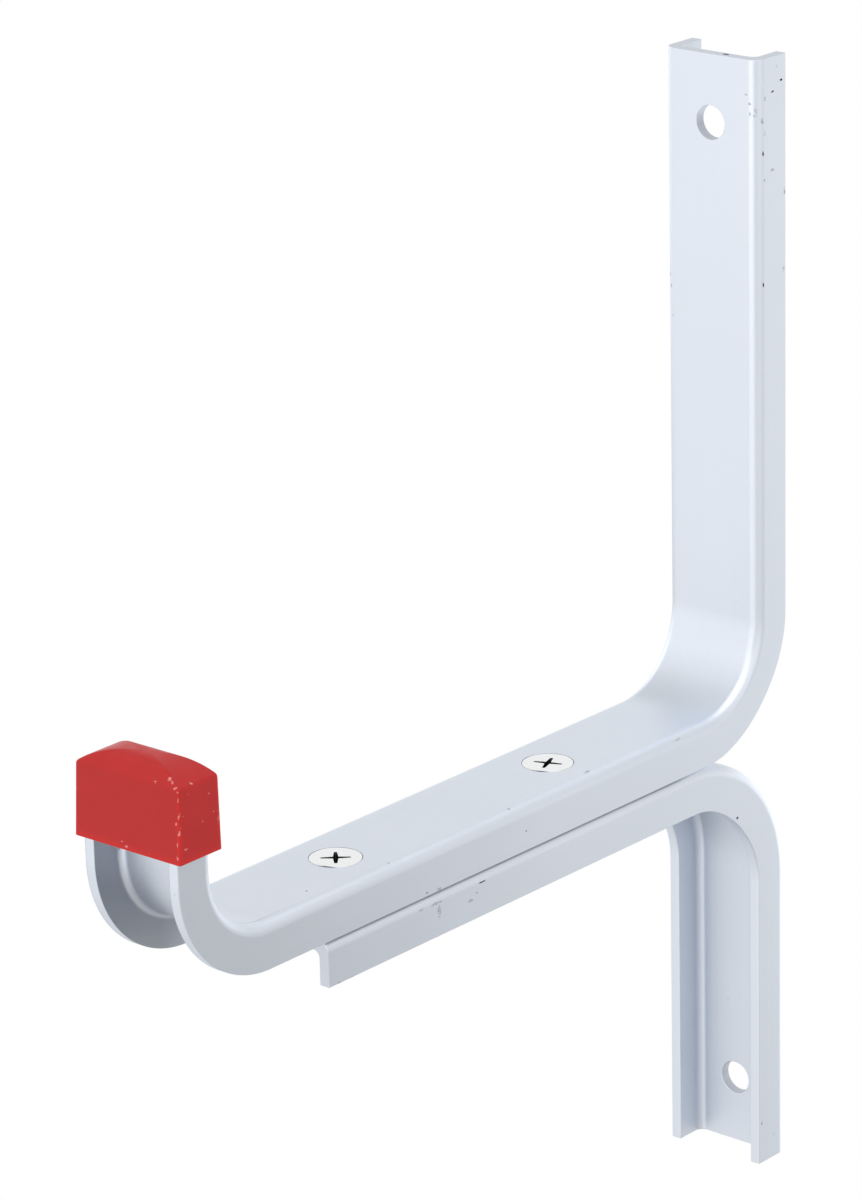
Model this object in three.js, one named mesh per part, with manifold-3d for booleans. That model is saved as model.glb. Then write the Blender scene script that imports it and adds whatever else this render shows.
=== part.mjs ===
// Wall bracket for hanging a ladder: two aluminium channels, each bent to shape and
// clamped one on the other with two countersunk screws, and a plastic cap on the hook's tip.
//
// Millimetres, +Z up. The wall is the plane y = 0 and the arm reaches away from it along -Y.
// The origin lies on the wall, on the flat back of the lower leg, at the middle of its width.
import * as THREE from 'three';
import { mergeVertices } from 'three/addons/utils/BufferGeometryUtils.js';
import Module from 'manifold-3d';

const wasm = await Module();
wasm.setup();

// ---- Driving dimensions -------------------------------------------------------------------

const CHANNEL = {
  width: 25,
  depth: 10,
  wall: 2.5,
  cornerRadius: 2.5,
  filletRadius: 1,
};

const SEAM_Z = 60; // the arm's flange edges rest on the lower channel at this height

const UPPER = {
  wallLegTop: SEAM_Z + 153.5,
  hookFace: -186, // the side of the hook that faces the wall
  tipTop: SEAM_Z + 44,
  wallBend: { radius: 18.5, flangeChange: -0.09 }, // bending thins the stretched flanges
  hookBend: { radius: 15.5, flangeChange: 0 },
};

const LOWER = {
  frontEnd: -153.5,
  legBottom: SEAM_Z - 102,
  bend: { radius: 33, flangeChange: 0.12 }, // and deepens the gathered ones
};

const WALL_HOLE = { diameter: 7.5, upperZ: SEAM_Z + 138.5, lowerZ: SEAM_Z - 86.5 };

const SCREW = {
  y: { front: -136.5, rear: -68 },
  turn: { front: 42, rear: 22 }, // degrees, where each recess came to rest
  headDiameter: 11.5,
  shankDiameter: 6,
  length: 20,
  rim: 0.2, // the short upright edge round the head
  countersinkGap: 0.2,
  recess: { span: 6.8, slot: 1.5, depth: 3.2, bottomScale: 0.4 },
};

const SCREW_HOLE_DIAMETER = 6.6;
const FLAT_WASHER = { hole: 6.4, diameter: 12, thickness: 1.6 };
const SPRING_WASHER = { hole: 6.3, diameter: 10.8, thickness: 1.6, slit: 0.9, slitTilt: 25 };
const NUT = { hole: 6.3, acrossFlats: 10, height: 3.2, chamfer: 0.15, chamferAngle: 30 };

const CAP = {
  sideWall: 1.5,
  faceWall: 0.85, // the front and the back, which are thinner than the sides
  clearance: 0.15,
  bottomZ: SEAM_Z + 30.6,
  edgeZ: SEAM_Z + 46,
  crown: 3.6,
  crownPower: 2.75, // how square the pillow-shaped top is
  cornerRadius: 0.9,
  ceilingGap: 0.3,
  flatTop: 0.035, // the part of the crown's width that is level at its summit
};

const BEND_STEPS = 12;
const CORNER_STEPS = 4;
const ROUND_STEPS = 32;
const CROWN_STEPS = 8;

// ---- Values worked out from them ----------------------------------------------------------

const ARM_TOP = SEAM_Z + CHANNEL.depth;
const LOWER_WEB_UNDERSIDE = SEAM_Z - CHANNEL.wall;
const OVERCUT = 1; // how far a cutting tool runs past the face that it starts from

const MATERIALS = {
  aluminium: new THREE.MeshStandardMaterial({ color: 0xd3d9e2, roughness: 0.42, metalness: 0.85 }),
  zincSteel: new THREE.MeshStandardMaterial({ color: 0xe9edee, roughness: 0.3, metalness: 0.8 }),
  redPlastic: new THREE.MeshStandardMaterial({ color: 0xc3302f, roughness: 0.38, metalness: 0 }),
};

// ---- Shared helpers -----------------------------------------------------------------------

const radians = (degrees) => (degrees * Math.PI) / 180;

// Keeps only the positions, with shared points merged, so that the mesh is one closed skin.
function closedSkin(geometry) {
  geometry.deleteAttribute('normal');
  geometry.deleteAttribute('uv');
  return mergeVertices(geometry, 1e-4);
}

function toSolid(geometry) {
  const skin = closedSkin(geometry);
  return new wasm.Manifold(new wasm.Mesh({
    numProp: 3,
    vertProperties: new Float32Array(skin.getAttribute('position').array),
    triVerts: new Uint32Array(skin.getIndex().array),
  }));
}

function toGeometry(solid) {
  const mesh = solid.getMesh();
  const geometry = new THREE.BufferGeometry();
  geometry.setAttribute('position', new THREE.BufferAttribute(mesh.vertProperties, 3));
  geometry.setIndex(new THREE.BufferAttribute(mesh.triVerts, 1));
  return geometry;
}

// Extrudes an outline one unit for each station, then moves every ring of points to its place.
// A station is a function that takes the outline's x and y and returns a point in space.
function loft(outline, stations) {
  const rings = stations.length - 1;
  const skin = closedSkin(new THREE.ExtrudeGeometry(outline, {
    depth: rings,
    steps: rings,
    bevelEnabled: false,
    curveSegments: CORNER_STEPS,
  }));
  const position = skin.getAttribute('position');
  for (let i = 0; i < position.count; i += 1) {
    const station = stations[Math.round(position.getZ(i))];
    const point = station(position.getX(i), position.getY(i));
    position.setXYZ(i, point.x, point.y, point.z);
  }
  return skin;
}

// Turns a profile of [radius, z] pairs, listed from the bottom up, about the Z axis.
function turned(profile) {
  const points = profile.map(([radius, z]) => new THREE.Vector2(radius, z));
  return new THREE.LatheGeometry(points, ROUND_STEPS).rotateX(Math.PI / 2);
}

function ring(hole, diameter, thickness) {
  const [inner, outer] = [hole / 2, diameter / 2];
  return turned([[inner, 0], [outer, 0], [outer, thickness], [inner, thickness], [inner, 0]]);
}

function roundedRectangle(halfWidth, halfDepth, radius) {
  const [x, y] = [halfWidth - radius, halfDepth - radius];
  const shape = new THREE.Shape();
  shape.absarc(x, y, radius, 0, Math.PI / 2);
  shape.absarc(-x, y, radius, Math.PI / 2, Math.PI);
  shape.absarc(-x, -y, radius, Math.PI, 1.5 * Math.PI);
  shape.absarc(x, -y, radius, 1.5 * Math.PI, 2 * Math.PI);
  return shape;
}

// ---- Bent channels ------------------------------------------------------------------------

// The channel's section: x across the width, y from the web's outer face to the flange edges.
function channelSection() {
  const half = CHANNEL.width / 2;
  const inside = half - CHANNEL.wall;
  const { depth, wall, cornerRadius: corner, filletRadius: fillet } = CHANNEL;
  const shape = new THREE.Shape();
  shape.moveTo(-half, depth);
  shape.lineTo(-half, corner);
  shape.absarc(-half + corner, corner, corner, Math.PI, 1.5 * Math.PI);
  shape.absarc(half - corner, corner, corner, 1.5 * Math.PI, 2 * Math.PI);
  shape.lineTo(half, depth);
  shape.lineTo(inside, depth);
  shape.absarc(inside - fillet, wall + fillet, fillet, 0, -Math.PI / 2, true);
  shape.absarc(-inside + fillet, wall + fillet, fillet, -Math.PI / 2, -Math.PI, true);
  shape.lineTo(-inside, depth);
  return shape;
}

// Walks the web's outer face through straight runs and bends, in the plane x = 0. A positive
// turn bends the channel with its web on the inside, a negative one with its web outside.
function bentPath(start, moves) {
  const stations = [];
  let { y, z } = start;
  let heading = radians(start.heading);
  const addStation = (flangeScale) => {
    const [originY, originZ] = [y, z];
    const [normalY, normalZ] = [Math.sin(heading), -Math.cos(heading)];
    stations.push((across, depth) => {
      const beyondWeb = Math.max(depth - CHANNEL.wall, 0);
      const reach = depth + beyondWeb * (flangeScale - 1);
      return new THREE.Vector3(across, originY + normalY * reach, originZ + normalZ * reach);
    });
  };
  addStation(1);
  for (const move of moves) {
    if (move.length !== undefined) {
      y += Math.cos(heading) * move.length;
      z += Math.sin(heading) * move.length;
      addStation(1);
      continue;
    }
    const side = Math.sign(move.turn) * move.radius;
    const centreY = y - Math.sin(heading) * side;
    const centreZ = z + Math.cos(heading) * side;
    const firstHeading = heading;
    for (let step = 1; step <= BEND_STEPS; step += 1) {
      const part = step / BEND_STEPS;
      heading = firstHeading + radians(move.turn) * part;
      y = centreY + Math.sin(heading) * side;
      z = centreZ - Math.cos(heading) * side;
      addStation(1 + move.flangeChange * Math.sin(Math.PI * part) ** 2);
    }
  }
  return stations;
}

// The J-shaped channel, from the hook's tip down, along the arm and up the wall.
function upperChannel() {
  const { wallBend, hookBend } = UPPER;
  const armLength = -CHANNEL.depth - wallBend.radius - (UPPER.hookFace + hookBend.radius);
  const start = { y: UPPER.hookFace, z: UPPER.tipTop, heading: -90 };
  const channel = loft(channelSection(), bentPath(start, [
    { length: UPPER.tipTop - ARM_TOP - hookBend.radius },
    { turn: 90, ...hookBend },
    { length: armLength },
    { turn: 90, ...wallBend },
    { length: UPPER.wallLegTop - ARM_TOP - wallBend.radius },
  ]));
  let solid = toSolid(channel).subtract(wallHole(WALL_HOLE.upperZ));
  for (const y of Object.values(SCREW.y)) {
    solid = solid.subtract(countersink(y));
  }
  return toGeometry(solid);
}

// The L-shaped channel under it, from the arm's front end back to the wall and down.
function lowerChannel() {
  const { radius } = LOWER.bend;
  const start = { y: LOWER.frontEnd, z: SEAM_Z, heading: 0 };
  const channel = loft(channelSection(), bentPath(start, [
    { length: -LOWER.frontEnd - radius },
    { turn: -90, ...LOWER.bend },
    { length: SEAM_Z - radius - LOWER.legBottom },
  ]));
  let solid = toSolid(channel).subtract(wallHole(WALL_HOLE.lowerZ));
  for (const y of Object.values(SCREW.y)) {
    solid = solid.subtract(screwHole(y));
  }
  return toGeometry(solid);
}

// ---- Holes --------------------------------------------------------------------------------

function wallHole(z) {
  const radius = WALL_HOLE.diameter / 2;
  const length = 2 * (CHANNEL.depth + OVERCUT);
  const cutter = new THREE.CylinderGeometry(radius, radius, length, ROUND_STEPS);
  return toSolid(cutter.translate(0, 0, z));
}

function screwHole(y) {
  const radius = SCREW_HOLE_DIAMETER / 2;
  const length = 2 * (CHANNEL.wall + OVERCUT);
  const cutter = new THREE.CylinderGeometry(radius, radius, length, ROUND_STEPS);
  return toSolid(cutter.rotateX(Math.PI / 2).translate(0, y, SEAM_Z));
}

// A 90 degree cone from the arm's top face, running out into a straight hole.
function countersink(y) {
  const mouth = SCREW.headDiameter / 2 + SCREW.rim + SCREW.countersinkGap;
  const hole = SCREW_HOLE_DIAMETER / 2;
  const cutter = turned([
    [0, -CHANNEL.wall - OVERCUT],
    [hole, -CHANNEL.wall - OVERCUT],
    [hole, hole - mouth],
    [mouth + OVERCUT, OVERCUT],
    [0, OVERCUT],
  ]);
  return toSolid(cutter.translate(0, y, ARM_TOP));
}

// ---- Fasteners ----------------------------------------------------------------------------

// A countersunk screw, head up, with its head's flat top at z = 0.
function countersunkScrew(turn) {
  const [head, shank] = [SCREW.headDiameter / 2, SCREW.shankDiameter / 2];
  const tip = 0.8;
  const body = toSolid(turned([
    [0, -SCREW.length],
    [shank - tip, -SCREW.length],
    [shank, tip - SCREW.length],
    [shank, shank - head - SCREW.rim],
    [head, -SCREW.rim],
    [head, 0],
    [0, 0],
  ]));
  return toGeometry(body.subtract(crossRecess())).rotateZ(radians(turn));
}

// The tapering cross that a driver fits, as the solid to cut away.
function crossRecess() {
  const { span, slot, depth, bottomScale } = SCREW.recess;
  const [arm, half] = [span / 2, slot / 2];
  const quarter = [[arm, -half], [arm, half], [half, half]];
  const centre = new THREE.Vector2();
  const outline = [0, 90, 180, 270].flatMap((angle) => (
    quarter.map(([x, y]) => new THREE.Vector2(x, y).rotateAround(centre, radians(angle)))
  ));
  const scaledRing = (z, scale) => (x, y) => new THREE.Vector3(x * scale, y * scale, z);
  const taper = (1 - bottomScale) / depth;
  return toSolid(loft(new THREE.Shape(outline), [
    scaledRing(-depth, bottomScale),
    scaledRing(OVERCUT, 1 + taper * OVERCUT),
  ]));
}

function flatWasher() {
  return ring(FLAT_WASHER.hole, FLAT_WASHER.diameter, FLAT_WASHER.thickness);
}

// A split ring, pressed flat, with a slanting slit through one side.
function springWasher() {
  const { hole, diameter, thickness, slit, slitTilt } = SPRING_WASHER;
  const cutter = new THREE.BoxGeometry(diameter, slit, 4 * thickness);
  cutter.rotateX(radians(slitTilt)).translate(diameter / 2 + hole / 4, 0, thickness / 2);
  return toGeometry(toSolid(ring(hole, diameter, thickness)).subtract(toSolid(cutter)));
}

// A hexagon whose corners are turned off by a shallow cone at both ends.
function nut() {
  const { hole, acrossFlats, height, chamfer, chamferAngle } = NUT;
  const corner = acrossFlats / 2 / Math.cos(Math.PI / 6);
  const prism = new THREE.CylinderGeometry(corner, corner, height, 6);
  prism.rotateX(Math.PI / 2).translate(0, 0, height / 2);
  const flat = acrossFlats / 2 - chamfer;
  const slope = Math.tan(radians(chamferAngle));
  const barrel = turned([
    [0, 0],
    [flat, 0],
    [flat + (height / 2) / slope, height / 2],
    [flat, height],
    [0, height],
  ]);
  const bore = new THREE.CylinderGeometry(hole / 2, hole / 2, 3 * height, ROUND_STEPS);
  bore.rotateX(Math.PI / 2);
  return toGeometry(toSolid(prism).intersect(toSolid(barrel)).subtract(toSolid(bore)));
}

// ---- End cap ------------------------------------------------------------------------------

// A box-shaped cap with a pillow-shaped top, hollowed out to slide down over the hook's tip.
function endCap() {
  const halfWidth = CHANNEL.width / 2 + CAP.clearance + CAP.sideWall;
  const halfDepth = CHANNEL.depth / 2 + CAP.clearance + CAP.faceWall;
  const centreY = UPPER.hookFace - CHANNEL.depth / 2;
  const level = (z, scale) => (x, y) => new THREE.Vector3(x * scale, centreY + y * scale, z);
  const stations = [level(CAP.bottomZ, 1)];
  for (let step = 0; step <= CROWN_STEPS; step += 1) {
    const scale = Math.max(Math.cos((step / CROWN_STEPS) * (Math.PI / 2)), CAP.flatTop);
    stations.push(level(CAP.edgeZ + CAP.crown * (1 - scale ** CAP.crownPower), scale));
  }
  const shell = toSolid(loft(roundedRectangle(halfWidth, halfDepth, CAP.cornerRadius), stations));
  const ceiling = UPPER.tipTop + CAP.ceilingGap;
  const cavity = new THREE.BoxGeometry(
    2 * (halfWidth - CAP.sideWall),
    2 * (halfDepth - CAP.faceWall),
    ceiling - CAP.bottomZ + OVERCUT,
  );
  cavity.translate(0, centreY, (ceiling + CAP.bottomZ - OVERCUT) / 2);
  return toGeometry(shell.subtract(toSolid(cavity)));
}

// ---- Assembly -----------------------------------------------------------------------------

const bracket = new THREE.Group();

function addPart(name, geometry, material, position = [0, 0, 0]) {
  const mesh = new THREE.Mesh(geometry, material);
  mesh.name = name;
  mesh.position.set(...position);
  bracket.add(mesh);
}

addPart('upper_channel', upperChannel(), MATERIALS.aluminium);
addPart('lower_channel', lowerChannel(), MATERIALS.aluminium);
addPart('end_cap', endCap(), MATERIALS.redPlastic);

for (const [place, y] of Object.entries(SCREW.y)) {
  const flatWasherZ = LOWER_WEB_UNDERSIDE - FLAT_WASHER.thickness;
  const springWasherZ = flatWasherZ - SPRING_WASHER.thickness;
  const nutZ = springWasherZ - NUT.height;
  addPart(`${place}_screw`, countersunkScrew(SCREW.turn[place]), MATERIALS.zincSteel, [0, y, ARM_TOP]);
  addPart(`${place}_flat_washer`, flatWasher(), MATERIALS.zincSteel, [0, y, flatWasherZ]);
  addPart(`${place}_spring_washer`, springWasher(), MATERIALS.zincSteel, [0, y, springWasherZ]);
  addPart(`${place}_nut`, nut(), MATERIALS.zincSteel, [0, y, nutZ]);
}

export default bracket;
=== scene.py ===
"""Wall bracket for hanging a ladder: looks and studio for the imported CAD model.

Metres, +Z up. The wall is at y = 0 and the arm reaches out along -Y."""
from math import cos, degrees, exp, pi, radians, sin

import bmesh
import bpy
from mathutils import Matrix, Vector


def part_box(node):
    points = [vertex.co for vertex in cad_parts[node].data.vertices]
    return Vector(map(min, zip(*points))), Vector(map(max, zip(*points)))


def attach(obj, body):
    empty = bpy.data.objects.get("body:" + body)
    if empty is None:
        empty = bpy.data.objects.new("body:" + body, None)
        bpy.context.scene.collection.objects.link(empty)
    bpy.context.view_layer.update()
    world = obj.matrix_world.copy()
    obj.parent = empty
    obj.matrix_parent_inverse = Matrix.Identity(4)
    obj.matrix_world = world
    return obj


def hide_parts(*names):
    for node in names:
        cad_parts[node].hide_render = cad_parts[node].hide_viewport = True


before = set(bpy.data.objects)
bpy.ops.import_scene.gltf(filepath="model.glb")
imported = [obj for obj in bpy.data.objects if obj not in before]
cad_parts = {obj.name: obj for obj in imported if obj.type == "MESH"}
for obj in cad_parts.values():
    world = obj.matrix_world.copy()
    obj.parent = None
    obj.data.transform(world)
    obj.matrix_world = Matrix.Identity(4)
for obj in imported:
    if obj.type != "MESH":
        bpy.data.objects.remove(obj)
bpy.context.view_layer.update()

MM = 0.001

# ---- Sizes and places from the frame --------------------------------------------------------

upper_low, upper_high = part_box("upper_channel")
lower_low, lower_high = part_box("lower_channel")
cap_low, cap_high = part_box("end_cap")
SCREW_BOX = {place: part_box(f"{place}_screw") for place in ("front", "rear")}

WIDTH = upper_high.x - upper_low.x
SEAM_Z = lower_high.z
ARM_TOP = SCREW_BOX["front"][1].z
DEPTH = ARM_TOP - SEAM_Z
HOOK_FACE = upper_low.y + DEPTH
WALL_Y = upper_high.y

# ---- Sizes that the boxes don't give --------------------------------------------------------
#
# They are the CAD model's, apart from the fillets, the countersinks, the screws' heads, shanks
# and recess arms, and the cap's corners, which have sizes of their own here. The threads, the
# dented rims, the rounded edges and the lean of the cap's sides and front are in the looks only.

WALL = 2.5 * MM
CORNER_RADIUS = 2.5 * MM
FILLET_RADIUS = 1.7 * MM
TIP_TOP = SEAM_Z + 44 * MM
WALL_BEND = {"radius": 18.5 * MM, "flange_change": -0.09}
HOOK_BEND = {"radius": 15.5 * MM, "flange_change": 0}
LOWER_BEND = {"radius": 33 * MM, "flange_change": 0.12}
WALL_HOLE_DIAMETER = 7.5 * MM
WALL_HOLE_Z = {"upper": SEAM_Z + 138.5 * MM, "lower": SEAM_Z - 86.5 * MM}
SCREW_HOLE_DIAMETER = 6.6 * MM
COUNTERSINK_DIAMETER = 11.3 * MM
SCREW_TURN = {"front": 42, "rear": 22}
SCREW = {
    "head": 5.52 * MM,  # radius
    "rim": 0.2 * MM,
    "shank": 2.97 * MM,  # radius
    "pitch": 1 * MM,
    "thread_depth": 0.55 * MM,
    "recess_reach": 3.05 * MM,
    "recess_half_slot": 0.55 * MM,
    "recess_depth": 3.2 * MM,
    "recess_taper": 0.6,
}
FLAT_WASHER = {"bore": 3.2 * MM, "edge": 0.25 * MM, "burr": 0.04 * MM}
SPRING_WASHER = {"bore": 3.15 * MM, "edge": 0.15 * MM, "slit": 7, "slant": 5, "offset": 0.12 * MM}
NUT = {"face": 0.98, "chamfer_slope": 0.6, "lead": 0.5 * MM}
CAP = {
    "side_wall": 1.5 * MM,
    "face_wall": 0.85 * MM,
    "corner": 0.5 * MM,
    "edge_z": SEAM_Z + 46 * MM,
    "side_draft": 0.35 * MM,
    "front_lean": 0.65 * MM,
    "crown_power": 2.75,
    "flat_top": 0.035,
    "ceiling_z": TIP_TOP + 0.3 * MM,
}
CAP_HALF_WIDTH = (cap_high.x - cap_low.x) / 2
CAP_HALF_DEPTH = (cap_high.y - cap_low.y) / 2
CAP_MIDDLE_Y = (cap_high.y + cap_low.y) / 2

CHANNEL_EDGE = 0.22 * MM
DRILL_LENGTH = 3 * WALL

BEND_STEPS = 48
CORNER_STEPS = 10
ROUND_STEPS = 96
SCREW_STEPS = 48
WASHER_STEPS = 64
COIL_STEPS = 72

# ---- Mesh helpers ---------------------------------------------------------------------------


def new_object(name, bm):
    bmesh.ops.recalc_face_normals(bm, faces=bm.faces)
    mesh = bpy.data.meshes.new(name)
    bm.to_mesh(mesh)
    bm.free()
    obj = bpy.data.objects.new(name, mesh)
    bpy.context.scene.collection.objects.link(obj)
    return obj


def sweep(bm, rings, closed=False, lengths=None, rounds=None):
    """Joins rings of points with quads, and open sweeps get a face at each end. Lengths, one per
    ring, and rounds, one per point and one more, give the sides a UV map in metres."""
    loops = [[bm.verts.new(point) for point in ring] for ring in rings]
    ends = list(range(1, len(loops))) + ([0] if closed else [])
    uv_layer = bm.loops.layers.uv.new("UVMap") if lengths else None
    for i, n in enumerate(ends):
        first, second = loops[i], loops[n]
        for j, vert in enumerate(first):
            k = (j + 1) % len(first)
            face = bm.faces.new((vert, first[k], second[k], second[j]))
            if uv_layer:
                places = ((i, j), (i, j + 1), (n, j + 1), (n, j))
                for loop, (ring, point) in zip(face.loops, places):
                    loop[uv_layer].uv = (lengths[ring], rounds[point])
    if not closed:
        bm.faces.new(loops[0])
        bm.faces.new(loops[-1])


def running_length(points, closed=False):
    """The distance along a line of points, from 0 at the first one."""
    total = [0]
    for here, there in zip(points, points[1:] + points[:1] * closed):
        total.append(total[-1] + (Vector(there) - Vector(here)).length)
    return total


def circle(radius, z, steps=ROUND_STEPS):
    """A ring of points. The radius may be a function of the angle."""
    angles = [2 * pi * i / steps for i in range(steps)]
    radii = [radius(angle) if callable(radius) else radius for angle in angles]
    return [(r * cos(angle), r * sin(angle), z) for r, angle in zip(radii, angles)]


def arc(centre, radius, start, end, steps):
    """Points round part of a circle, both ends included, with the angles in degrees."""
    angles = [radians(start + (end - start) * i / steps) for i in range(steps + 1)]
    return [(centre[0] + radius * cos(a), centre[1] + radius * sin(a)) for a in angles]


def apply_modifiers(obj):
    bpy.context.view_layer.update()
    evaluated = obj.evaluated_get(bpy.context.evaluated_depsgraph_get())
    mesh = bpy.data.meshes.new_from_object(evaluated)
    obj.modifiers.clear()
    obj.data = mesh


def cut(obj, *cutters, operation="DIFFERENCE"):
    for cutter in cutters:
        boolean = obj.modifiers.new("cut", "BOOLEAN")
        boolean.operation = operation
        boolean.solver = "EXACT"
        boolean.object = cutter
    apply_modifiers(obj)
    for cutter in cutters:
        bpy.data.objects.remove(cutter)


def soften_edges(obj, width, segments=3, angle=35):
    """Rounds every sharp edge a little and shades the rest smooth."""
    bevel = obj.modifiers.new("bevel", "BEVEL")
    bevel.width = width
    bevel.segments = segments
    bevel.limit_method = "ANGLE"
    bevel.angle_limit = radians(angle)
    bevel.miter_outer = "MITER_ARC"
    apply_modifiers(obj)
    shade_smooth(obj, angle)


def shade_smooth(obj, angle=35):
    mesh = obj.data
    for polygon in mesh.polygons:
        polygon.use_smooth = True
    mesh.set_sharp_from_angle(angle=radians(angle))
    weighted = obj.modifiers.new("weighted", "WEIGHTED_NORMAL")
    weighted.keep_sharp = True
    weighted.weight = 80
    apply_modifiers(obj)


def finish_piece(obj, body, slot, material, *nodes):
    obj.data.materials.clear()
    obj.data.materials.append(material)
    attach(obj, body)
    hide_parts(*nodes)
    return obj


# ---- Bent channels --------------------------------------------------------------------------


def channel_section():
    """(across, depth) points of the section, with depth from the web's outer face."""
    half, inside = WIDTH / 2, WIDTH / 2 - WALL
    corner, fillet = CORNER_RADIUS, FILLET_RADIUS
    points = [(-half, DEPTH)]
    points += arc((-half + corner, corner), corner, 180, 270, CORNER_STEPS)
    points += arc((half - corner, corner), corner, 270, 360, CORNER_STEPS)
    points += [(half, DEPTH), (inside, DEPTH)]
    points += arc((inside - fillet, WALL + fillet), fillet, 0, -90, CORNER_STEPS // 2)
    points += arc((-inside + fillet, WALL + fillet), fillet, -90, -180, CORNER_STEPS // 2)
    points += [(-inside, DEPTH)]
    return points


def bent_path(y, z, heading, moves):
    """Stations (y, z, heading, flange scale) along the web's outer face. A positive turn has the
    web on the inside of the bend, a negative one has it outside."""
    stations = [(y, z, heading, 1)]
    for move in moves:
        if "length" in move:
            y += cos(heading) * move["length"]
            z += sin(heading) * move["length"]
            stations.append((y, z, heading, 1))
            continue
        side = move["radius"] * (1 if move["turn"] > 0 else -1)
        centre_y = y - sin(heading) * side
        centre_z = z + cos(heading) * side
        first = heading
        for step in range(1, BEND_STEPS + 1):
            part = step / BEND_STEPS
            heading = first + radians(move["turn"]) * part
            y = centre_y + sin(heading) * side
            z = centre_z - cos(heading) * side
            stations.append((y, z, heading, 1 + move["flange_change"] * sin(pi * part) ** 2))
    return stations


def bent_channel(name, stations):
    section = channel_section()
    rings = []
    for y, z, heading, flange_scale in stations:
        ring = []
        for across, depth in section:
            reach = depth + max(depth - WALL, 0) * (flange_scale - 1)
            ring.append((across, y + sin(heading) * reach, z - cos(heading) * reach))
        rings.append(ring)
    lengths = running_length([station[:2] for station in stations])
    bm = bmesh.new()
    sweep(bm, rings, lengths=lengths, rounds=running_length(section, closed=True))
    return new_object(name, bm)


def drill(diameter, centre, axis, length):
    """A round cutter of that length through a point, along Y or Z."""
    bm = bmesh.new()
    sweep(bm, [circle(diameter / 2, z) for z in (-length / 2, length / 2)])
    cutter = new_object("drill", bm)
    turn = Matrix.Rotation(radians(90), 4, "X") if axis == "Y" else Matrix.Identity(4)
    cutter.data.transform(Matrix.Translation(centre) @ turn)
    return cutter


def countersink_tool(place):
    """A 90 degree cone that runs out into the screw's hole."""
    overcut = 1 * MM
    mouth, hole = COUNTERSINK_DIAMETER / 2, SCREW_HOLE_DIAMETER / 2
    bm = bmesh.new()
    sweep(bm, [
        circle(hole, -WALL - overcut),
        circle(hole, hole - mouth),
        circle(mouth + overcut, overcut),
    ])
    tool = new_object("countersink", bm)
    tool.data.transform(Matrix.Translation((0, screw_y(place), ARM_TOP)))
    return tool


def screw_y(place):
    low, high = SCREW_BOX[place]
    return (low.y + high.y) / 2


def upper_channel(material):
    arm = -DEPTH - WALL_BEND["radius"] - (HOOK_FACE + HOOK_BEND["radius"])
    channel = bent_channel("bent_upper_channel", bent_path(HOOK_FACE, TIP_TOP, radians(-90), [
        {"length": TIP_TOP - ARM_TOP - HOOK_BEND["radius"]},
        {"turn": 90, **HOOK_BEND},
        {"length": arm},
        {"turn": 90, **WALL_BEND},
        {"length": upper_high.z - ARM_TOP - WALL_BEND["radius"]},
    ]))
    hole = drill(WALL_HOLE_DIAMETER, (0, WALL_Y - DEPTH, WALL_HOLE_Z["upper"]), "Y", DRILL_LENGTH)
    cut(channel, hole, *[countersink_tool(place) for place in SCREW_BOX])
    soften_edges(channel, CHANNEL_EDGE)
    return finish_piece(channel, "bracket", "aluminium", material, "upper_channel")


def lower_channel(material):
    radius = LOWER_BEND["radius"]
    channel = bent_channel("bent_lower_channel", bent_path(lower_low.y, SEAM_Z, 0, [
        {"length": WALL_Y - lower_low.y - radius},
        {"turn": -90, **LOWER_BEND},
        {"length": SEAM_Z - radius - lower_low.z},
    ]))
    holes = [drill(WALL_HOLE_DIAMETER, (0, WALL_Y, WALL_HOLE_Z["lower"]), "Y", DRILL_LENGTH)]
    for place in SCREW_BOX:
        holes.append(drill(SCREW_HOLE_DIAMETER, (0, screw_y(place), SEAM_Z), "Z", DRILL_LENGTH))
    cut(channel, *holes)
    soften_edges(channel, CHANNEL_EDGE)
    return finish_piece(channel, "bracket", "aluminium", material, "lower_channel")


# ---- Fasteners ------------------------------------------------------------------------------


def thread_rings(bottom, top, major, depth, pitch, rings_per_turn=10):
    """Rings of a helical thread with rounded crests, which fades out at both ends."""
    count = round((top - bottom) / pitch * rings_per_turn)
    steepness, crest, tip_taper = 1.35, 0.2, 0.55
    rings = []
    for i in range(count + 1):
        z = bottom + (top - bottom) * i / count
        fade = min(1, (z - bottom) / pitch, (top - z) / pitch)

        def radius(angle, z=z, fade=fade):
            phase = (z / pitch - angle / (2 * pi)) % 1
            groove = min(1, max(0, steepness * (1 - abs(2 * phase - 1)) - crest))
            taper = tip_taper * (1 - fade) * (z < (bottom + top) / 2)
            return major - depth * (groove * fade + taper)

        rings.append(circle(radius, z, SCREW_STEPS))
    return rings


def head_radius(angle):
    """The head's rim, which a driver has dented on one side and pushed out beside the dent."""
    def near(middle, spread):
        away = (degrees(angle) - middle + 180) % 360 - 180
        return exp(-(away / spread) ** 2)

    dent, bulge = 0.6 * MM * near(-68, 17), 0.12 * MM * near(-36, 12)
    return SCREW["head"] - dent + bulge + 0.03 * MM * sin(5 * angle + 1)


def cross_recess(turn):
    """The tapering cross that a driver fits."""
    reach, half, depth = SCREW["recess_reach"], SCREW["recess_half_slot"], SCREW["recess_depth"]
    tip, point = half * 0.6, reach + half * 0.4
    quarter = [(reach, -tip), (point, 0), (reach, tip), (half, half)]
    outline = []
    for arm in range(4):
        c, s = cos(arm * pi / 2 + turn), sin(arm * pi / 2 + turn)
        outline += [(c * x - s * y, s * x + c * y) for x, y in quarter]
    halfway, overcut = -depth * 0.55, 0.5 * MM
    rings = []
    for z in (-depth, halfway, overcut):
        part = (z + depth) / depth
        scale = 1 - SCREW["recess_taper"] * (1 - part)
        rings.append([(x * scale, y * scale, z) for x, y in outline])
    bm = bmesh.new()
    sweep(bm, rings)
    return new_object("recess", bm)


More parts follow.
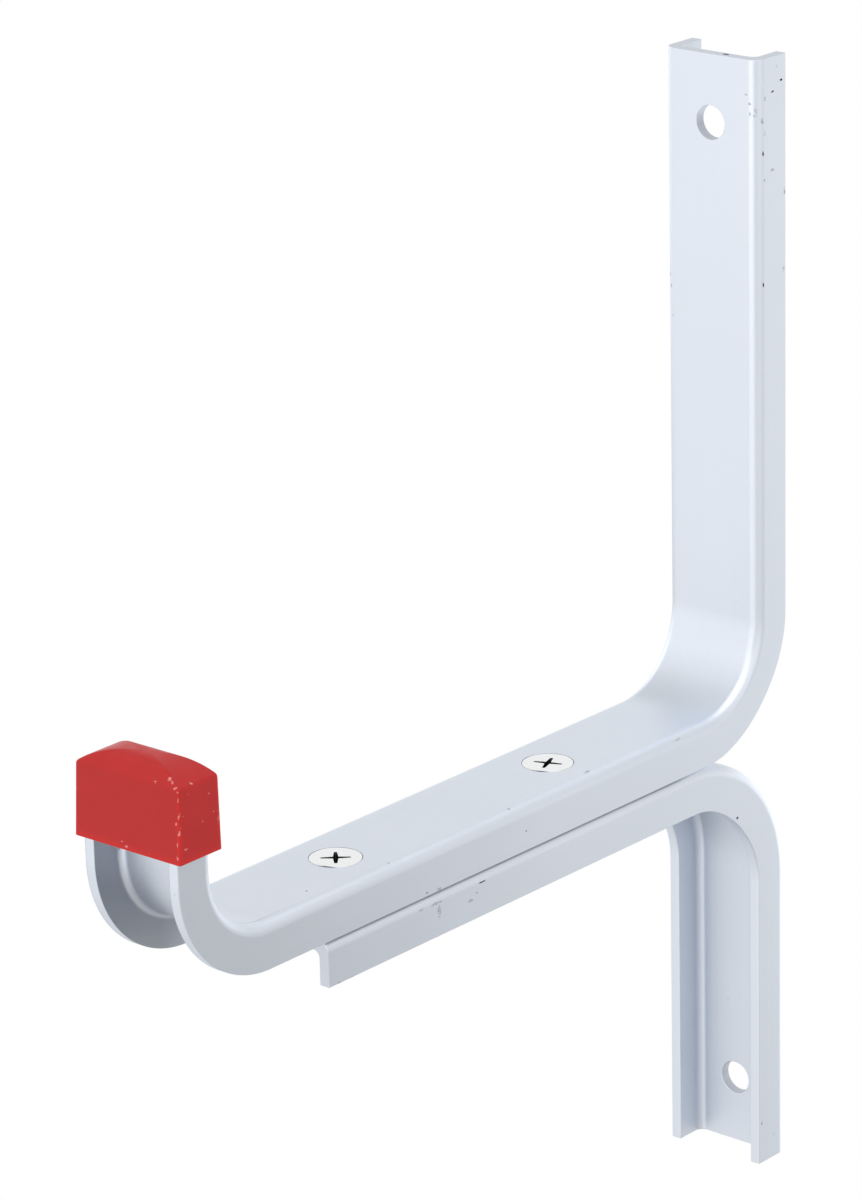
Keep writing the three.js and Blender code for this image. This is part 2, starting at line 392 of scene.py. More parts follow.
def threaded_screw(place, material):
    low, high = SCREW_BOX[place]
    length = high.z - low.z
    head_base = SCREW["shank"] - SCREW["head"] - SCREW["rim"]
    chamfer = 0.7 * MM
    rim, tip_inset, neck = SCREW["rim"], 0.3 * MM, 0.4 * MM
    rings = [circle(SCREW["shank"] - SCREW["thread_depth"] - tip_inset, -length, SCREW_STEPS)]
    rings += thread_rings(
        chamfer - length, head_base - neck, SCREW["shank"], SCREW["thread_depth"], SCREW["pitch"]
    )
    rings.append(circle(SCREW["shank"], head_base, SCREW_STEPS))
    rim_rounding = [
        (0.05 * MM, -rim - 0.05 * MM), (0, -rim), (0, -0.07 * MM), (0.02 * MM, -0.03 * MM), (0.07 * MM, 0),
    ]
    for inset, z in rim_rounding:
        rings.append(circle(lambda angle, inset=inset: head_radius(angle) - inset, z, SCREW_STEPS))
    bm = bmesh.new()
    sweep(bm, rings)
    screw = new_object(f"threaded_{place}_screw", bm)
    cut(screw, cross_recess(radians(SCREW_TURN[place])))
    soften_edges(screw, 0.07 * MM, segments=2, angle=40)
    screw.location = (0, screw_y(place), ARM_TOP)
    return finish_piece(screw, "bracket", "zinc_steel", material, f"{place}_screw")


def turned_ring(inner, outer, bottom, top, edge, burr):
    """A washer with rounded edges below and a small stamping burr round its top outer edge."""
    shoulder, burr_width = edge * 0.3, edge * 0.5
    profile = [(inner, bottom + edge), (inner + shoulder, bottom + shoulder), (inner + edge, bottom)]
    profile += [(outer - edge, bottom), (outer - shoulder, bottom + shoulder), (outer, bottom + edge)]
    profile += [(outer, top), (outer - burr_width, top - burr)]
    profile += [(inner + burr_width, top - burr), (inner, top - edge)]
    return [circle(radius, z, WASHER_STEPS) for radius, z in profile]


def stamped_flat_washer(place, material):
    low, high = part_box(f"{place}_flat_washer")
    outer = (high.x - low.x) / 2
    bm = bmesh.new()
    rings = turned_ring(
        FLAT_WASHER["bore"], outer, low.z, high.z, FLAT_WASHER["edge"], FLAT_WASHER["burr"]
    )
    sweep(bm, rings, closed=True)
    washer = new_object(f"stamped_{place}_flat_washer", bm)
    washer.data.transform(Matrix.Translation((0, screw_y(place), 0)))
    shade_smooth(washer)
    return finish_piece(washer, "bracket", "zinc_steel", material, f"{place}_flat_washer")


def split_spring_washer(place, material):
    """A coil of square wire, pressed nearly flat, with slanting ends that don't quite line up."""
    low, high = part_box(f"{place}_spring_washer")
    outer = (high.x - low.x) / 2
    inner, edge, offset = SPRING_WASHER["bore"], SPRING_WASHER["edge"], SPRING_WASHER["offset"]
    slit, slant = radians(SPRING_WASHER["slit"]), radians(SPRING_WASHER["slant"])
    bottom, top = low.z, high.z - offset
    section = [
        (inner, bottom + edge), (inner + edge, bottom), (outer - edge, bottom), (outer, bottom + edge),
        (outer, top - edge), (outer - edge, top), (inner + edge, top), (inner, top - edge),
    ]
    rings = []
    for i in range(COIL_STEPS + 1):
        part = i / COIL_STEPS
        ring = []
        for radius, z in section:
            lean = slant * (2 * (z - bottom) / (top - bottom) - 1)
            angle = slit + lean + (2 * pi - 2 * slit) * part
            ring.append((radius * cos(angle), radius * sin(angle), z + offset * part))
        rings.append(ring)
    bm = bmesh.new()
    sweep(bm, rings)
    washer = new_object(f"split_{place}_spring_washer", bm)
    washer.data.transform(Matrix.Translation((0, screw_y(place), 0)))
    shade_smooth(washer)
    return finish_piece(washer, "bracket", "zinc_steel", material, f"{place}_spring_washer")


def chamfered_nut(place, material):
    low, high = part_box(f"{place}_nut")
    flat, height = (high.x - low.x) / 2, high.z - low.z
    corner = flat / cos(pi / 6)
    hexagon = [(corner * sin(i * pi / 3), corner * cos(i * pi / 3)) for i in range(6)]
    bm = bmesh.new()
    sweep(bm, [[(x, y, z) for x, y in hexagon] for z in (0, height)])
    nut = new_object(f"chamfered_{place}_nut", bm)

    face = flat * NUT["face"]
    slope = (corner - face) * NUT["chamfer_slope"]
    bm = bmesh.new()
    sweep(bm, [
        circle(face, 0), circle(corner, slope), circle(corner, height - slope), circle(face, height),
    ])
    barrel = new_object("barrel", bm)
    cut(nut, barrel, operation="INTERSECT")

    bore, lead = SCREW["shank"] - 0.02 * MM, NUT["lead"]
    bm = bmesh.new()
    sweep(bm, [
        circle(bore + 2 * lead, -lead), circle(bore, lead),
        circle(bore, height - lead), circle(bore + 2 * lead, height + lead),
    ])
    cut(nut, new_object("bore", bm))
    soften_edges(nut, 0.12 * MM, segments=2)
    nut.data.transform(Matrix.Translation((0, screw_y(place), low.z)))
    return finish_piece(nut, "bracket", "zinc_steel", material, f"{place}_nut")


# ---- End cap --------------------------------------------------------------------------------


def rounded_rectangle(half_width, half_depth, radius, steps=8):
    points = []
    for quarter, (x, y) in enumerate(((1, 1), (-1, 1), (-1, -1), (1, -1))):
        centre = (x * (half_width - radius), y * (half_depth - radius))
        points += arc(centre, radius, 90 * quarter, 90 * quarter + 90, steps)
    return points


def crown_profile(crown):
    """(scale, z) pairs from the cap's straight sides over a rounded edge to the top's middle."""
    def at(part):
        scale = max(cos(part * pi / 2), CAP["flat_top"])
        return scale, CAP["edge_z"] + crown * (1 - scale ** CAP["crown_power"])

    blend_end, blend_steps, crown_steps = 0.16, 8, 24
    start, edge, end = (1, CAP["edge_z"] - 0.5 * MM), (1, CAP["edge_z"]), at(blend_end)
    profile = []
    for i in range(blend_steps + 1):
        t = i / blend_steps
        profile.append(tuple(
            (1 - t) ** 2 * start[k] + 2 * t * (1 - t) * edge[k] + t ** 2 * end[k] for k in (0, 1)
        ))
    for i in range(1, crown_steps + 1):
        profile.append(at(blend_end + (1 - blend_end) * i / crown_steps))
    return profile


def moulded_end_cap(material):
    """The sides lean in a little towards the top and so does the front. The back is upright."""
    outline = rounded_rectangle(CAP_HALF_WIDTH, CAP_HALF_DEPTH, CAP["corner"])

    def level(scale, z):
        rise = min((z - cap_low.z) / (CAP["edge_z"] - cap_low.z), 1)
        across = scale * (1 - rise * CAP["side_draft"] / CAP_HALF_WIDTH)
        deep = 1 - rise * CAP["front_lean"] / (2 * CAP_HALF_DEPTH)
        middle = cap_high.y - CAP_HALF_DEPTH * deep
        return [(x * across, middle + y * deep * scale, z) for x, y in outline]

    lip, side_steps = 0.1 * MM, 12
    side_height = CAP["edge_z"] - cap_low.z
    levels = [(1 - lip / CAP_HALF_WIDTH, cap_low.z), (1, cap_low.z + lip)]
    levels += [(1, cap_low.z + side_height * i / side_steps) for i in range(1, side_steps)]
    levels += crown_profile(cap_high.z - CAP["edge_z"])
    bm = bmesh.new()
    sweep(bm, [level(scale, z) for scale, z in levels])
    cap = new_object("moulded_end_cap", bm)

    inside_corner, flare = 0.3 * MM, 1.02
    inside = rounded_rectangle(
        CAP_HALF_WIDTH - CAP["side_wall"], CAP_HALF_DEPTH - CAP["face_wall"], inside_corner, steps=3
    )
    bm = bmesh.new()
    sweep(bm, [
        [(x * scale, CAP_MIDDLE_Y + y * scale, z) for x, y in inside]
        for scale, z in ((flare, cap_low.z - lip), (1, cap_low.z + 3 * lip), (1, CAP["ceiling_z"]))
    ])
    cut(cap, new_object("cavity", bm))
    shade_smooth(cap, 30)
    return finish_piece(cap, "cap", "red_plastic", material, "end_cap")


# ---- Materials ------------------------------------------------------------------------------


class Nodes:
    """A short way to add and join shader nodes."""

    def __init__(self, name):
        self.material = bpy.data.materials.new(name)
        self.material.use_nodes = True
        self.tree = self.material.node_tree
        self.shader = self.tree.nodes["Principled BSDF"]

    def add(self, kind, inputs=None, **settings):
        node = self.tree.nodes.new(f"ShaderNode{kind}")
        for key, value in settings.items():
            setattr(node, key, value)
        for key, value in (inputs or {}).items():
            self.feed(node.inputs[key], value)
        return node

    def feed(self, socket, value):
        if isinstance(value, bpy.types.NodeSocket):
            self.tree.links.new(value, socket)
        else:
            socket.default_value = value

    def math(self, operation, a, b=0.0, c=0.0, clamp=False):
        node = self.add("Math", {0: a, 1: b, 2: c}, operation=operation, use_clamp=clamp)
        return node.outputs[0]

    def noise(self, vector, scale, detail=2, roughness=0.5):
        inputs = {"Vector": vector, "Scale": scale, "Detail": detail, "Roughness": roughness}
        return self.add("TexNoise", inputs).outputs["Fac"]

    def stretch(self, vector, scale):
        return self.add("Mapping", {"Vector": vector, "Scale": scale}).outputs[0]

    def remap(self, value, low, high, to_low=0.0, to_high=1.0):
        inputs = {"Value": value, "From Min": low, "From Max": high, "To Min": to_low, "To Max": to_high}
        return self.add("MapRange", inputs).outputs[0]

    def mix(self, factor, a, b):
        """Mixes two colours."""
        node = self.add("Mix", data_type="RGBA")
        self.feed(node.inputs["Factor"], factor)
        self.feed(node.inputs["A"], a)
        self.feed(node.inputs["B"], b)
        return node.outputs["Result"]

    def bump(self, height, strength, distance):
        inputs = {"Height": height, "Strength": strength, "Distance": distance}
        return self.add("Bump", inputs).outputs["Normal"]

    def coordinates(self, kind="Object"):
        return self.add("TexCoord").outputs[kind]

    def vector(self, operation, a, b=(0, 0, 0)):
        return self.add("VectorMath", {0: a, 1: b}, operation=operation).outputs[0]

    def axes(self, place):
        parts = self.add("SeparateXYZ", {0: place})
        return [parts.outputs[axis] for axis in "XYZ"]

    def length(self, vector):
        return self.add("VectorMath", {0: vector}, operation="LENGTH").outputs["Value"]

    def reach(self, a, b):
        """How far the point (a, b) is from the middle of its plane."""
        squares = self.math("ADD", self.math("MULTIPLY", a, a), self.math("MULTIPLY", b, b))
        return self.math("SQRT", squares)

    def ragged(self, place, scale, distance):
        """Coordinates pushed about by noise, so that what is placed with them gets a rough outline."""
        push = self.add("TexNoise", {"Vector": place, "Scale": scale, "Detail": 2}).outputs["Color"]
        centred = self.vector("SUBTRACT", push, (0.5, 0.5, 0.5))
        return self.vector("ADD", place, self.vector("MULTIPLY", centred, (distance,) * 3))

    def marks(self, place, marks):
        """1 on every mark and 0 away from them. A mark is its centre and half sizes, in mm."""
        nearest = 9.0
        for centre, half_sizes in marks:
            away = self.vector("SUBTRACT", place, [c * MM for c in centre])
            scaled = self.vector("DIVIDE", away, [h * MM for h in half_sizes])
            nearest = self.math("MINIMUM", nearest, self.length(scaled))
        return self.remap(nearest, 1.3, 0.8)

    def between(self, value, low, high, blur):
        """1 from low to high and 0 outside, with soft ends."""
        rising = self.remap(value, low - blur, low + blur)
        return self.math("MULTIPLY", rising, self.remap(value, high + blur, high - blur))


# Marks on the channels, each with its centre and half sizes in mm.
NICKS = [
    ((12.5, -1.6, 207.9), (0.4, 0.38, 0.26)),
    ((12.5, -4.7, 205.9), (0.4, 0.5, 0.16)),
    ((12.5, -17.8, 44.7), (0.4, 0.35, 0.25)),
    ((12.5, -90.6, 64.4), (0.3, 0.16, 0.16)),
    ((7.4, -153.8, 70), (0.18, 0.2, 0.3)),
    ((3.2, -8.6, 213.5), (0.8, 0.5, 0.4)),
    ((12.5, -7.9, 193), (0.3, 0.16, 0.5)),
    ((12.5, -7.9, 164.1), (0.3, 0.16, 0.5)),
    ((12.5, -105.2, 57.6), (0.4, 1.1, 0.14)),
    ((12.5, -150.3, 50), (0.3, 1.5, 0.16)),
    ((12.5, -146.6, 50), (0.3, 0.8, 0.16)),
]
SCUFFS = [
    ((12.5, -3.3, 211.2), (0.3, 0.25, 0.25)),
    ((9.5, -10, 205.8), (0.35, 0.3, 0.25)),
    ((10.4, -10, 204), (0.3, 0.3, 0.3)),
    ((11.6, -9.4, 202.5), (0.3, 0.3, 0.5)),
    ((11.6, -9.4, 201.4), (0.4, 0.4, 0.3)),
    ((10.5, -9.9, 201.8), (0.2, 0.3, 0.4)),
    ((12.4, -8.1, 200), (0.3, 0.35, 0.6)),
    ((12.5, -7.4, 197.3), (0.3, 0.25, 0.5)),
    ((12.5, -7.3, 204.9), (0.3, 0.25, 0.5)),
    ((12.5, -4.7, 188.8), (0.3, 0.6, 0.3)),
    ((12.5, -7.5, 187), (0.3, 0.25, 0.4)),
    ((12.5, -0.4, 183.5), (0.4, 0.3, 0.8)),
    ((12.5, -0.8, 166.1), (0.4, 0.3, 0.6)),
    ((-11.7, -9.3, 163), (0.4, 0.4, 0.6)),
    ((-11.1, -9.7, 160.5), (0.3, 0.4, 0.4)),
    ((12.2, -38.4, 69.2), (0.4, 1.6, 0.25)),
    ((10.6, -94, 69.9), (0.35, 0.3, 0.3)),
    ((10.1, -67.2, 70), (0.35, 0.9, 0.3)),
    ((10.5, -132.2, 69.9), (0.3, 0.3, 0.3)),
    ((12.5, -122.8, 60.8), (0.3, 0.5, 0.25)),
    ((12.5, -119, 60.4), (0.3, 0.7, 0.3)),
    ((12.5, -119.6, 57.5), (0.4, 1.8, 0.25)),
    ((12.5, -124.6, 57.6), (0.4, 0.8, 0.25)),
    ((12.5, -119, 55.4), (0.4, 0.5, 1.4)),
    ((12.5, -109.1, 54.6), (0.4, 0.8, 0.35)),
    ((12.5, -107, 55.7), (0.4, 0.3, 0.3)),
    ((12.5, -4.6, -36.6), (0.3, 0.3, 0.3)),
    ((12.5, -9, -32.1), (0.3, 0.35, 0.5)),
]


ALUMINIUM = {
    "darker": (0.82, 0.872, 0.945, 1),
    "lighter": (0.85, 0.9, 0.975, 1),
    "die_line": (0.7, 0.75, 0.82, 1),
    "speck": (0.25, 0.26, 0.28, 1),
    "scuff": (0.3, 0.32, 0.36, 1),
    "nick": (0.01, 0.01, 0.012, 1),
    # Duller cut faces; on the wall-hole bores this colour is painted shade.
    "cut": (0.42, 0.45, 0.5, 1),
    # Painted shade in the hook.
    "hook_shade": (0.27, 0.29, 0.325, 1),
    # Painted shade in hollows and inside corners.
    "hollow_shade": (0.4, 0.43, 0.5, 1),
    # Painted shade, nearly black, for the seam and the gaps round the screw heads.
    "painted_gap_shade": (0.05, 0.052, 0.06, 1),
}
# How far the ambient occlusion that paints shade in hollows reaches.
HOLLOW_SHADE_DISTANCE = 14 * MM


def aluminium_material():
    """Satin clear-anodised extrusion: fine grain, die lines along its length, nicks and scuffs.
    Painted shade darkens the hollows, the hook, the wall-hole bores, the seam between the
    channels and the gaps round the screw heads."""
    m = Nodes("satin_aluminium")
    place, along = m.coordinates(), m.coordinates("UV")
    cloud = m.noise(place, 45, 3)
    grain = m.noise(place, 5200, 2)
    die_lines = m.noise(m.stretch(along, (12, 2600, 1)), 1, 3, 0.65)
    smudge = m.noise(m.stretch(along, (60, 160, 1)), 1, 4, 0.6)

    tone = m.mix(cloud, ALUMINIUM["darker"], ALUMINIUM["lighter"])
    tone = m.mix(m.remap(die_lines, 0.35, 0.8, 0, 0.1), tone, ALUMINIUM["die_line"])

    speck_field = m.noise(place, 900, 2, 0.6)
    speck_zone = m.remap(m.noise(place, 38, 1), 0.56, 0.7)
    specks = m.math("MULTIPLY", m.remap(speck_field, 0.72, 0.76), speck_zone)
    tone = m.mix(m.math("MULTIPLY", specks, 0.6), tone, ALUMINIUM["speck"])

    ragged = m.ragged(place, 1500, 0.5 * MM)
    scuffs = m.math("MULTIPLY", m.marks(ragged, SCUFFS), m.remap(m.noise(place, 2600, 2), 0.35, 0.55))
    nicks = m.marks(ragged, NICKS)
    tone = m.mix(m.math("MULTIPLY", scuffs, 0.62), tone, ALUMINIUM["scuff"])
    tone = m.mix(nicks, tone, ALUMINIUM["nick"])
    # Cut faces are duller; the wall-hole bores are darkened as painted shade.
    tone = m.mix(cut_faces_and_bore_shade(m, place), tone, ALUMINIUM["cut"])
    # Painted shade on the hook's flanges, darkest on their inner faces.
    tone = m.mix(hook_painted_shade(m, place), tone, ALUMINIUM["hook_shade"])
    # Painted shade: ambient occlusion darkens hollows and inside corners.
    hollow_shade_ao = m.add("AmbientOcclusion", {"Distance": HOLLOW_SHADE_DISTANCE}, samples=6, only_local=True)
    tone = m.mix(m.remap(hollow_shade_ao.outputs["AO"], 0.9, 0.3, 0, 0.65), tone, ALUMINIUM["hollow_shade"])
    # Painted shade in the seam and round the screw heads.
    m.feed(m.shader.inputs["Base Color"], m.mix(painted_gap_shade(m, place), tone, ALUMINIUM["painted_gap_shade"]))

    m.shader.inputs["Metallic"].default_value = 1
    worn = m.math("ADD", specks, m.math("ADD", scuffs, nicks), clamp=True)
    rough = m.remap(smudge, 0.3, 0.75, 0.42, 0.45)
    m.feed(m.shader.inputs["Roughness"], m.math("ADD", rough, m.math("MULTIPLY", worn, 0.2)))

    fine = m.bump(grain, 0.12, 0.04 * MM)
    lines = m.add("Bump", {"Height": die_lines, "Strength": 0.1, "Distance": 0.03 * MM, "Normal": fine})
    pits = m.add("Bump", {
        "Height": m.math("SUBTRACT", 1.0, worn), "Strength": 0.4, "Distance": 0.08 * MM,
        "Normal": lines.outputs["Normal"],
    })
    m.feed(m.shader.inputs["Normal"], pits.outputs["Normal"])
    return m.material


def cut_faces_and_bore_shade(m, place):
    """How dull the cut faces are: the sawn ends at the wall leg's top and at the lower channel's
    front. The bores of the wall holes are darkened too, as painted shade."""
    _, y, z = m.axes(place)
    top = m.remap(z, upper_high.z - 0.03 * MM, upper_high.z - 0.01 * MM)
    front = m.remap(y, lower_low.y + 0.03 * MM, lower_low.y + 0.01 * MM)
    under = m.remap(z, SEAM_Z + 0.01 * MM, SEAM_Z)
    dull = m.math("MULTIPLY", m.math("MAXIMUM", top, m.math("MULTIPLY", front, under)), 0.3)
    hole = WALL_HOLE_DIAMETER / 2
    for hole_z in WALL_HOLE_Z.values():
        away = m.vector("SUBTRACT", m.vector("MULTIPLY", place, (1, 0, 1)), (0, 0, hole_z))
        # Painted shade on the bore walls.
        bore = m.remap(m.length(away), hole + 0.06 * MM, hole + 0.03 * MM, 0, 0.4)
        dull = m.math("MAXIMUM", dull, bore)
    return dull


def hook_painted_shade(m, place):
    """Painted shade on the flanges in the hook: their inner faces most, their outer faces a little."""
    x, y, _ = m.axes(place)
    inner, outer = WIDTH / 2 - WALL, WIDTH / 2
    across = m.math("ABSOLUTE", x)
    inner_face = m.between(across, inner - 0.1 * MM, inner + 0.12 * MM, 0.08 * MM)
    inside = m.math("MULTIPLY", inner_face, m.remap(y, -160 * MM, -178 * MM, 0, 0.66))
    outer_face = m.remap(across, outer - 0.4 * MM, outer - 0.1 * MM)
    outside = m.math("MULTIPLY", outer_face, m.remap(y, -80 * MM, -175 * MM, 0, 0.22))
    return m.math("MAXIMUM", inside, outside)


def painted_gap_shade(m, place):
    """Painted shade: 1 in the seam between the channels and in the gaps round the screw heads."""
    x, y, z = m.axes(place)
    arm = m.between(y, lower_low.y, -LOWER_BEND["radius"] - 2 * MM, 3 * MM)
    # Painted shade along the seam, under the upper channel's flange edges.
    seam_shade = m.math("MULTIPLY", m.between(z, SEAM_Z - 0.25 * MM, SEAM_Z + 0.05 * MM, 0.06 * MM), 0.66)
    total = m.math("MULTIPLY", arm, seam_shade)
    below = m.remap(z, ARM_TOP - 0.01 * MM, ARM_TOP - 0.04 * MM)
    # Painted shadow in the gap round each countersunk screw head.
    for screw in SCREW_BOX:
        away = m.math("SUBTRACT", y, screw_y(screw))
        mouth = COUNTERSINK_DIAMETER / 2
        near = m.remap(m.reach(x, away), mouth + 0.1 * MM, mouth, 0, 0.93)
        total = m.math("ADD", total, m.math("MULTIPLY", near, below), clamp=True)
    return total


def zinc_material():
    """Bright zinc plate, on the washers and nuts."""
    m = Nodes("bright_zinc")
    place = m.coordinates()
    cloud = m.noise(place, 300, 3)
    tone = m.mix(cloud, (0.93, 0.945, 0.945, 1), (0.97, 0.98, 0.98, 1))
    scuffs = m.remap(m.noise(m.stretch(place, (900, 2600, 900)), 1, 3, 0.7), 0.62, 0.78)
    tone = m.mix(m.math("MULTIPLY", scuffs, 0.3), tone, (0.6, 0.62, 0.63, 1))
    m.feed(m.shader.inputs["Base Color"], tone)
    m.shader.inputs["Metallic"].default_value = 1
    m.feed(m.shader.inputs["Roughness"], m.remap(cloud, 0.3, 0.7, 0.26, 0.36))
    m.feed(m.shader.inputs["Normal"], m.bump(m.noise(place, 2400, 3), 0.15, 0.03 * MM))
    return m.material


def screw_material():
    """The plate on the screws, with painted shade: the recess and the gap at the rim are black."""
    m = Nodes("screw_zinc")
    place = m.coordinates()
    x, y, z = m.axes(place)
    reach = m.reach(x, y)
    inside = m.remap(reach, SCREW["recess_reach"] + 0.5 * MM, SCREW["recess_reach"] + 0.3 * MM)
    # Painted shade: the recess and the gap at the rim are painted black.
    recess_shade = m.math("MULTIPLY", inside, m.remap(z, -0.02 * MM, -0.12 * MM))
    rim = m.math("MULTIPLY", m.remap(reach, 5 * MM, 5.1 * MM), m.remap(z, -0.1 * MM, -0.16 * MM))
    recess_and_rim_shade = m.math("MAXIMUM", recess_shade, m.math("MULTIPLY", rim, 0.9))
    cloud = m.noise(place, 300, 3)
    tone = m.mix(cloud, (0.95, 0.965, 0.97, 1), (0.98, 0.99, 1, 1))
    scuffs = m.remap(m.noise(m.stretch(place, (700, 2600, 900)), 1, 3, 0.7), 0.62, 0.78)
    tone = m.mix(m.math("MULTIPLY", scuffs, 0.15), tone, (0.7, 0.72, 0.73, 1))
    # Painted shade, nearly black, on the recess and the rim gap.
    m.feed(m.shader.inputs["Base Color"], m.mix(recess_and_rim_shade, tone, (0.004, 0.004, 0.005, 1)))
    m.shader.inputs["Metallic"].default_value = 0.7
    m.shader.inputs["Coat Weight"].default_value = 0.6
    m.shader.inputs["Coat Roughness"].default_value = 0.3
    m.feed(m.shader.inputs["Roughness"], m.remap(cloud, 0.3, 0.7, 0.24, 0.32))
    m.feed(m.shader.inputs["Normal"], m.bump(m.noise(place, 2400, 3), 0.15, 0.03 * MM))
    return m.material


# Pale spots on the cap, each with its centre and half sizes in mm.
RUBS = [
    ((10.7, -195.5, 107.6), (0.42, 0.42, 0.42)),
    ((11.6, -195.8, 107.1), (0.3, 0.36, 0.36)),
    ((12.8, -196.2, 106.6), (0.3, 0.3, 0.54)),
    ((13.6, -196.4, 106), (0.24, 0.24, 0.48)),
    ((13.7, -196.5, 104.2), (0.15, 0.24, 0.54)),
    ((13.8, -196.5, 100.8), (0.15, 0.18, 0.72)),
    ((13.2, -196.6, 99.1), (0.21, 0.18, 0.36)),
    ((13.8, -196.7, 97.4), (0.18, 0.24, 0.48)),
    ((13.5, -196.9, 95), (0.15, 0.24, 0.6)),
    ((13.4, -196.9, 92.1), (0.24, 0.24, 0.48)),
    ((13.6, -192.5, 106.3), (0.3, 0.42, 0.24)),
    ((13.7, -193.7, 104.5), (0.24, 0.21, 0.18)),
    ((13.7, -188, 102.9), (0.24, 0.18, 0.18)),
    ((13.8, -195.3, 100.4), (0.24, 0.21, 0.21)),
    ((13.8, -190.1, 97.9), (0.24, 0.18, 0.21)),
    ((13.8, -186.9, 99), (0.24, 0.18, 0.18)),
    ((13.9, -195.2, 93.7), (0.24, 0.48, 0.15)),
    ((7.4, -196.3, 106.4), (0.42, 0.3, 0.24)),
    ((-1.3, -196.9, 92.1), (0.3, 0.24, 0.18)),
    ((-0.2, -197, 91.3), (0.42, 0.24, 0.21)),
]


def red_plastic_material():
    """Moulded red plastic: slight mottle, a painted highlight along its upright edges and lighter
    red towards its bottom edge, worn flecks along the upright edges, and pale in spots.
    """
    m = Nodes("moulded_red_plastic")
    place = m.coordinates()
    x, y, z = m.axes(place)
    cloud = m.noise(place, 160, 3)
    tone = m.mix(cloud, (0.46, 0.008, 0.007, 1), (0.53, 0.016, 0.014, 1))

    across = m.math("ABSOLUTE", x)
    deep = m.math("ABSOLUTE", m.math("SUBTRACT", y, CAP_MIDDLE_Y))
    # Painted highlight along the upright edges; the worn flecks below keep to the same edges.
    side_edge = m.remap(across, CAP_HALF_WIDTH - 1 * MM, CAP_HALF_WIDTH - 0.3 * MM)
    face_edge = m.remap(deep, CAP_HALF_DEPTH - 1.1 * MM, CAP_HALF_DEPTH - 0.5 * MM)
    edge = m.math("MULTIPLY", side_edge, face_edge)
    bottom = m.remap(z, cap_low.z + 1.6 * MM, cap_low.z)
    # Painted highlight: lighter red along the upright edges and towards the bottom edge.
    tone = m.mix(m.math("MULTIPLY", m.math("MAXIMUM", edge, bottom), 0.5), tone, (0.72, 0.012, 0.008, 1))

    ragged = m.ragged(place, 1100, 0.9 * MM)
    flecks = m.math("MULTIPLY", edge, m.remap(m.noise(place, 950, 3, 0.6), 0.6, 0.68))
    rubbed = m.math("MULTIPLY", m.marks(ragged, RUBS), m.remap(m.noise(place, 1900, 2), 0.36, 0.5))
    wear = m.math("MAXIMUM", m.math("MULTIPLY", flecks, 0.5), rubbed)
    tone = m.mix(m.math("MULTIPLY", wear, 0.6), tone, (0.95, 0.42, 0.38, 1))
    m.feed(m.shader.inputs["Base Color"], tone)

    rough = m.remap(m.noise(place, 420, 3), 0.3, 0.7, 0.34, 0.44)
    m.feed(m.shader.inputs["Roughness"], m.math("ADD", rough, m.math("MULTIPLY", wear, 0.2)))
    m.shader.inputs["Specular IOR Level"].default_value = 0.36
    mould = m.add("Bump", {"Height": m.noise(place, 1400, 3), "Strength": 0.1, "Distance": 0.06 * MM})
    chips = m.add("Bump", {
        "Height": m.math("SUBTRACT", 1.0, wear), "Strength": 0.5, "Distance": 0.15 * MM,
        "Normal": mould.outputs["Normal"],
    })
    m.feed(m.shader.inputs["Normal"], chips.outputs["Normal"])
    return m.material


def backdrop_material():
    m = Nodes("white_backdrop")
    glow = m.add("Emission", {"Color": (1, 1, 1, 1), "Strength": 1.0})
    m.tree.links.new(glow.outputs[0], m.tree.nodes["Material Output"].inputs["Surface"])
    return m.material


# ---- Build ----------------------------------------------------------------------------------

aluminium, zinc, screw_zinc = aluminium_material(), zinc_material(), screw_material()
upper_channel(aluminium)
lower_channel(aluminium)
for place in SCREW_BOX:
    threaded_screw(place, screw_zinc)
    stamped_flat_washer(place, zinc)
    split_spring_washer(place, zinc)
    chamfered_nut(place, zinc)
moulded_end_cap(red_plastic_material())

# ---- Studio and camera ----------------------------------------------------------------------


LIGHT_TARGET = Vector((0, -0.08, 0.1))
LIGHT_DISTANCE = 1
LIGHT_DIAMETER = 1.05

# Soft round lights, as (degrees round from the front towards +X, degrees up, watts).
LIGHTS = {
    "front_low": (0, -20, 1.3),
    "front": (0, 10, 1.4),
    "front_high": (0, 40, 0.7),
    "front_right_low": (45, -20, 0.7),
    "front_right_high": (45, 40, 1.8),
    "right_low": (90, -20, 0.3),
    "right": (90, 10, 1.2),
    "overhead": (90, 70, 2.8),
    "right_rear_low": (135, -20, 0.15),
    "right_rear": (135, 10, 0.7),
    "rear_low": (180, -20, 2.3),
    "rear_high": (180, 40, 0.8),
    "left_below": (275, -50, 0.8),
    "left_rear": (225, 10, 1.1),
    "left": (270, 10, 1.9),
    "left_high": (270, 40, 0.5),
    "front_left_low": (315, -20, 0.68),
    "front_left": (315, 10, 0.6),
    "front_left_high": (315, 40, 0.6),
}


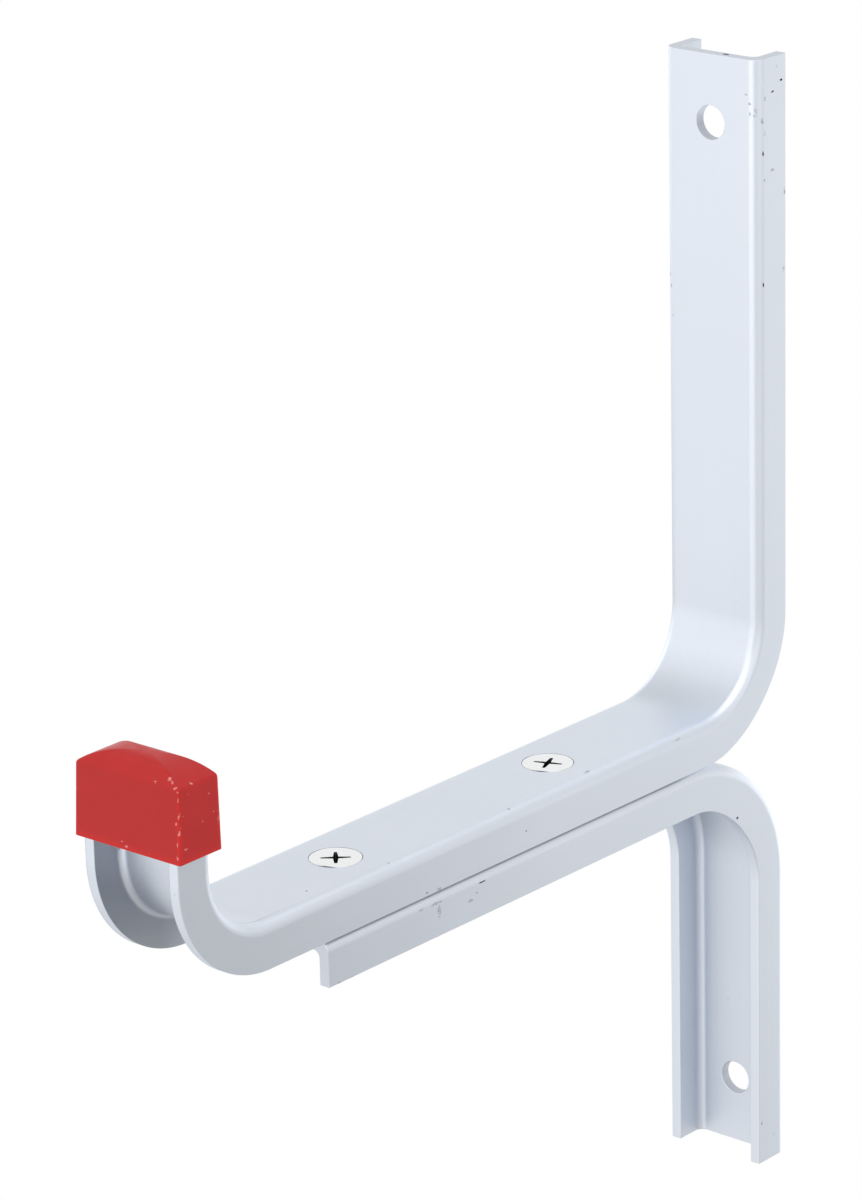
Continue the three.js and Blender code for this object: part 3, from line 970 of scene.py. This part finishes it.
def soft_light(name, azimuth, elevation, watts):
    """A round area light that faces the bracket's middle."""
    azimuth, elevation = radians(azimuth), radians(elevation)
    away = Vector((sin(azimuth) * cos(elevation), -cos(azimuth) * cos(elevation), sin(elevation)))
    data = bpy.data.lights.new(name, "AREA")
    data.shape = "DISK"
    data.size = LIGHT_DIAMETER
    data.energy = watts
    light = bpy.data.objects.new(name, data)
    light.location = LIGHT_TARGET + LIGHT_DISTANCE * away
    light.rotation_euler = away.to_track_quat("Z", "Y").to_euler()
    light.visible_camera = False
    bpy.context.scene.collection.objects.link(light)


def backdrop():
    """A white floor that curves up into a round wall. It lights nothing and shades nothing."""
    radius, sweep_up, height = 4, 1, 4
    floor_z = lower_low.z - 0.25
    rings = [circle(radius * part, floor_z) for part in (0.01, 0.5)]
    for r, z in arc((radius, floor_z + sweep_up), sweep_up, -90, 0, 12):
        rings.append(circle(r, z))
    rings.append(circle(radius + sweep_up, floor_z + height))
    bm = bmesh.new()
    sweep(bm, rings)
    stage = new_object("backdrop", bm)
    stage.data.materials.append(backdrop_material())
    for ray in ("diffuse", "glossy", "transmission", "volume_scatter", "shadow"):
        setattr(stage, f"visible_{ray}", False)


def studio():
    scene = bpy.context.scene
    scene.view_settings.view_transform = "Standard"
    scene.world = bpy.data.worlds.new("studio")
    scene.world.use_nodes = True
    background = scene.world.node_tree.nodes["Background"]
    background.inputs["Color"].default_value = (1, 1, 1, 1)
    background.inputs["Strength"].default_value = 0.45
    for name, light in LIGHTS.items():
        soft_light(name, *light)
    backdrop()


def camera():
    """Looks at the bracket from the front, to its right and a little above."""
    azimuth, elevation, roll = radians(40.82), radians(18.87), radians(-1.34)
    focus = Vector((0, -60 * MM, 70 * MM))
    distance, across, above = 1.1233, -30.1 * MM, 32.63 * MM
    focal_length = 157.071

    back = Vector((sin(azimuth) * cos(elevation), -cos(azimuth) * cos(elevation), sin(elevation)))
    level_right = Vector((cos(azimuth), sin(azimuth), 0))
    level_up = back.cross(level_right)
    right = cos(roll) * level_right + sin(roll) * level_up
    up = cos(roll) * level_up - sin(roll) * level_right

    data = bpy.data.cameras.new("camera")
    data.sensor_width = 36
    data.lens = focal_length
    data.clip_start = 0.05
    obj = bpy.data.objects.new("camera", data)
    place = focus + across * right + above * up + distance * back
    obj.matrix_world = Matrix.Translation(place) @ Matrix((right, up, back)).transposed().to_4x4()
    bpy.context.scene.collection.objects.link(obj)
    bpy.context.scene.camera = obj


studio()
camera()
